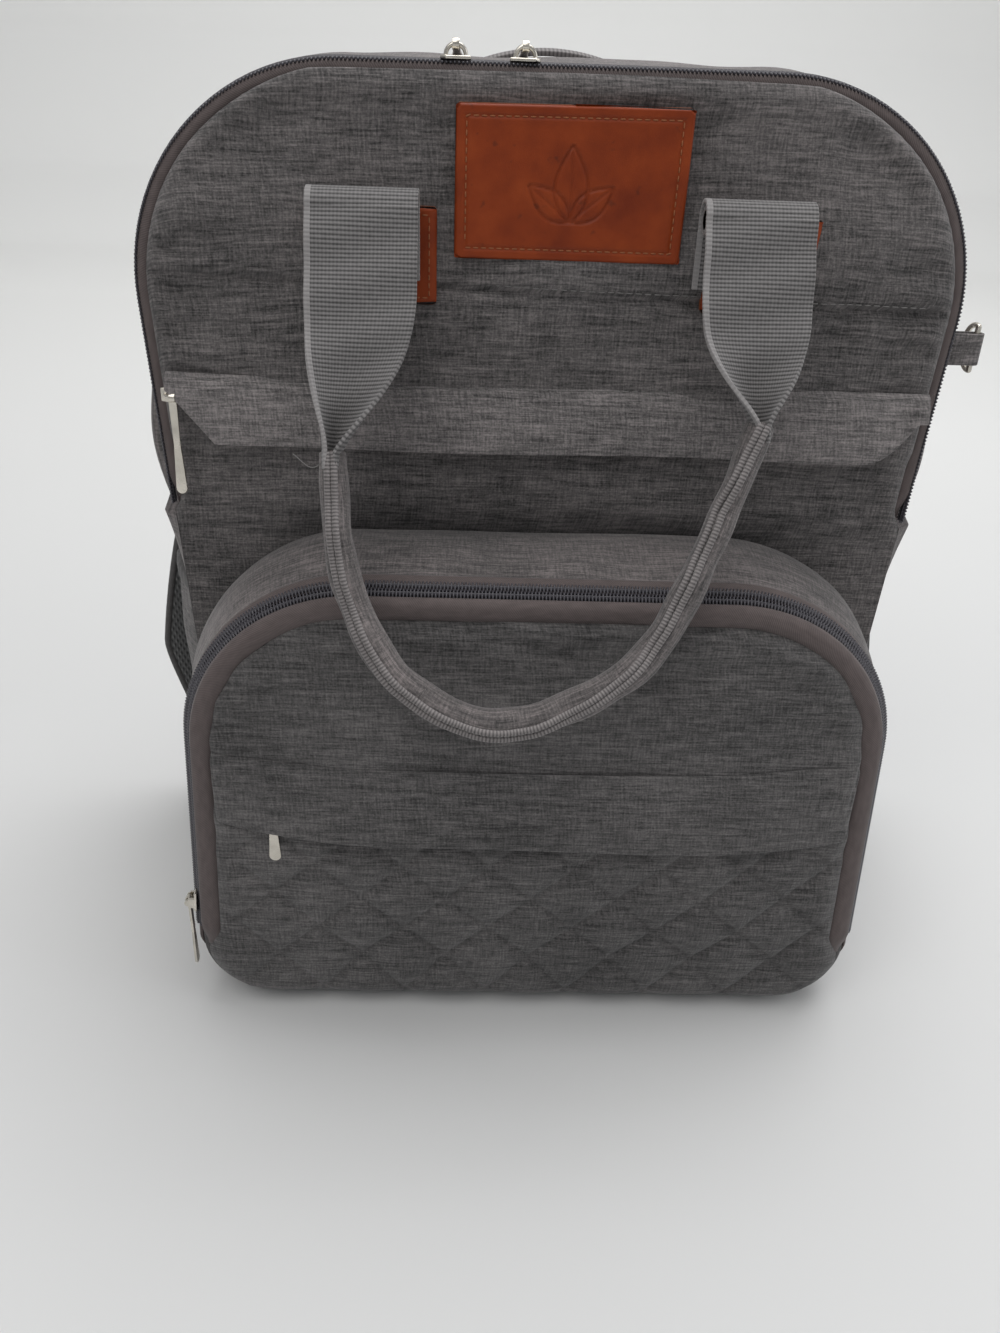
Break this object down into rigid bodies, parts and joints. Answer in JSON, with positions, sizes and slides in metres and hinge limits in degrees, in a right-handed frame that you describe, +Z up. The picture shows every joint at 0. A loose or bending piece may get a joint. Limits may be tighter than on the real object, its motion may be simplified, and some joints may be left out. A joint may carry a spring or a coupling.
{
  "type": "diaper backpack",
  "caption": "Upright fabric backpack with a zipped fold-down front panel, a zipped bulging front pocket, webbing hand loops and padded shoulder straps.",
  "frame": {"origin": "on the underside of the flat base, midway across and near the middle of the depth", "axes": "+Z up along the bag's height, -Y out of the front panel and front pocket, +X to the right of someone who looks at the front"},
  "size_m": [0.4178, 0.2338, 0.4062],
  "materials": {
    "shell_fabric": "grey melange plain weave, slubs along X",
    "flap_fabric": "lighter, warmer grey melange weave",
    "back_mesh": "dark grey spacer mesh",
    "strap_mesh": "near-black spacer mesh",
    "foam": "soft grey foam, hidden",
    "lining_fabric": "smooth pale grey lining",
    "board": "stiff flat sheet, hidden",
    "insulation": "silvery insulated lining",
    "zip_coil": "dark blue-grey nylon coil",
    "zip_tape": "brown-grey herringbone tape",
    "webbing": "light grey ribbed webbing",
    "leather": "reddish brown, raised edge stitch",
    "nickel": "warm satin nickel",
    "buckle": "black moulded plastic"
  },
  "bodies": {
    "bag": {"gusset_shell": "shell_fabric", "lower_front_wall": "shell_fabric", "back_panel": "back_mesh", "back_foam": "foam", "lining": "lining_fabric", "base_board": "board", "main_zip_coil_rear": "zip_coil", "main_zip_tape_rear": "zip_tape", "side_pocket_left": "shell_fabric", "side_pocket_right": "shell_fabric", "side_ring_tab": "shell_fabric", "pocket_gusset": "shell_fabric", "pocket_insulation": "insulation", "pocket_zip_coil_rear": "zip_coil", "strap_yoke": "back_mesh", "strap_anchor_left": "webbing", "strap_anchor_right": "webbing"},
    "front_panel": {"upper_front_panel": "shell_fabric", "main_zip_coil_front": "zip_coil", "main_zip_tape_front": "zip_tape", "leather_patch": "leather", "weather_flap": "flap_fabric", "upper_pocket_zip": "zip_tape", "handle_tab_left": "leather", "handle_tab_right": "leather", "handle_root_left": "webbing", "handle_root_right": "webbing"},
    "handle_fold": {"handle_fold_inner": "webbing"},
    "handle_swing": {"handle_fold_outer": "webbing"},
    "handle": {"handle_webbing_left": "webbing", "handle_webbing_right": "webbing", "handle_grip": "shell_fabric"},
    "pocket_door": {"pocket_front": "shell_fabric", "pocket_zip_coil_front": "zip_coil", "pocket_zip_tape_front": "zip_tape", "pocket_welt": "flap_fabric", "pocket_welt_zip": "zip_tape"},
    "main_slider_left": {"main_slider_left": "nickel"},
    "main_slider_right": {"main_slider_right": "nickel"},
    "main_pull_left": {"main_pull_left": "nickel"},
    "main_pull_right": {"main_pull_right": "nickel"},
    "upper_pocket_slider": {"upper_pocket_slider": "nickel"},
    "upper_pocket_pull": {"upper_pocket_pull": "nickel"},
    "pocket_slider": {"pocket_slider": "nickel"},
    "pocket_pull": {"pocket_pull": "nickel"},
    "welt_slider": {"welt_slider": "nickel"},
    "welt_pull": {"welt_pull": "nickel"},
    "side_ring": {"side_ring": "nickel"},
    "strap_left": {"strap_pad_left": "strap_mesh", "strap_webbing_left": "webbing", "ladder_lock_left": "buckle"},
    "strap_right": {"strap_pad_right": "strap_mesh", "strap_webbing_right": "webbing", "ladder_lock_right": "buckle"},
    "haul_loop": {"haul_loop": "webbing"}
  },
  "joints": [
    {"name": "front_panel_open", "type": "hinge", "parent": "bag", "child": "front_panel", "pos_m": [0, -0.032, 0.226], "axis": [1, 0, 0], "range_deg": [0, 80]},
    {"name": "handle_fold_turn", "type": "hinge", "parent": "front_panel", "child": "handle_fold", "pos_m": [0, -0.044, 0.351], "axis": [1, 0, 0], "range_deg": [-60, 0]},
    {"name": "handle_swing_out", "type": "hinge", "parent": "handle_fold", "child": "handle_swing", "pos_m": [0, -0.044, 0.351], "axis": [1, 0, 0], "range_deg": [-97.5, 0]},
    {"name": "handle_lift", "type": "hinge", "parent": "handle_swing", "child": "handle", "pos_m": [0, -0.044, 0.351], "axis": [1, 0, 0], "range_deg": [-160, 0]},
    {"name": "pocket_open", "type": "hinge", "parent": "bag", "child": "pocket_door", "pos_m": [0, -0.0895, 0.0105], "axis": [1, 0, 0], "range_deg": [0, 75]},
    {"name": "main_zip_left", "type": "slide", "parent": "bag", "child": "main_slider_left", "axis": [-1, 0, 0], "range_m": [0, 0.048]},
    {"name": "main_zip_right", "type": "slide", "parent": "bag", "child": "main_slider_right", "axis": [1, 0, 0], "range_m": [0, 0.095]},
    {"name": "main_pull_left_turn", "type": "hinge", "parent": "main_slider_left", "child": "main_pull_left", "pos_m": [-0.0395, -0.02215, 0.4043], "axis": [1, 0, 0], "range_deg": [0, 150]},
    {"name": "main_pull_right_turn", "type": "hinge", "parent": "main_slider_right", "child": "main_pull_right", "pos_m": [-0.0145, -0.02215, 0.4043], "axis": [1, 0, 0], "range_deg": [0, 150]},
    {"name": "upper_pocket_zip_slide", "type": "slide", "parent": "front_panel", "child": "upper_pocket_slider", "axis": [1, 0, 0], "range_m": [0, 0.28]},
    {"name": "upper_pocket_pull_turn", "type": "hinge", "parent": "upper_pocket_slider", "child": "upper_pocket_pull", "pos_m": [-0.15, -0.037, 0.278], "axis": [1, 0, 0], "range_deg": [-90, 0]},
    {"name": "pocket_zip_slide", "type": "slide", "parent": "bag", "child": "pocket_slider", "axis": [0.0469, 0, 0.9989], "range_m": [0, 0.085]},
    {"name": "pocket_pull_turn", "type": "hinge", "parent": "pocket_slider", "child": "pocket_pull", "pos_m": [-0.15551, -0.08115, 0.05824], "axis": [0, 1, 0], "range_deg": [0, 120]},
    {"name": "welt_zip_slide", "type": "slide", "parent": "pocket_door", "child": "welt_slider", "axis": [1, 0, 0], "range_m": [0, 0.22]},
    {"name": "welt_pull_turn", "type": "hinge", "parent": "welt_slider", "child": "welt_pull", "pos_m": [-0.112, -0.0936, 0.128], "axis": [0, 1, 0], "range_deg": [-45, 45]},
    {"name": "side_ring_turn", "type": "hinge", "parent": "bag", "child": "side_ring", "pos_m": [0.1795, -0.0064, 0.3], "axis": [0, 0, 1], "range_deg": [-170, 10]},
    {"name": "strap_left_swing", "type": "hinge", "parent": "bag", "child": "strap_left", "pos_m": [-0.03, 0.0882, 0.372], "axis": [-0.2529, 0, -0.9675], "range_deg": [0, 75]},
    {"name": "strap_right_swing", "type": "hinge", "parent": "bag", "child": "strap_right", "pos_m": [0.03, 0.0882, 0.372], "axis": [-0.2529, 0, 0.9675], "range_deg": [0, 75]},
    {"name": "haul_loop_bend", "type": "hinge", "parent": "bag", "child": "haul_loop", "pos_m": [0, 0.0853, 0.3828], "axis": [1, 0, 0], "range_deg": [-20, 0]}
  ],
  "couplings": [
    {"joint": "handle_fold_turn", "follows": "front_panel_open", "ratio": -0.75},
    {"joint": "handle_swing_out", "follows": "pocket_open", "ratio": -1.3}
  ]
}
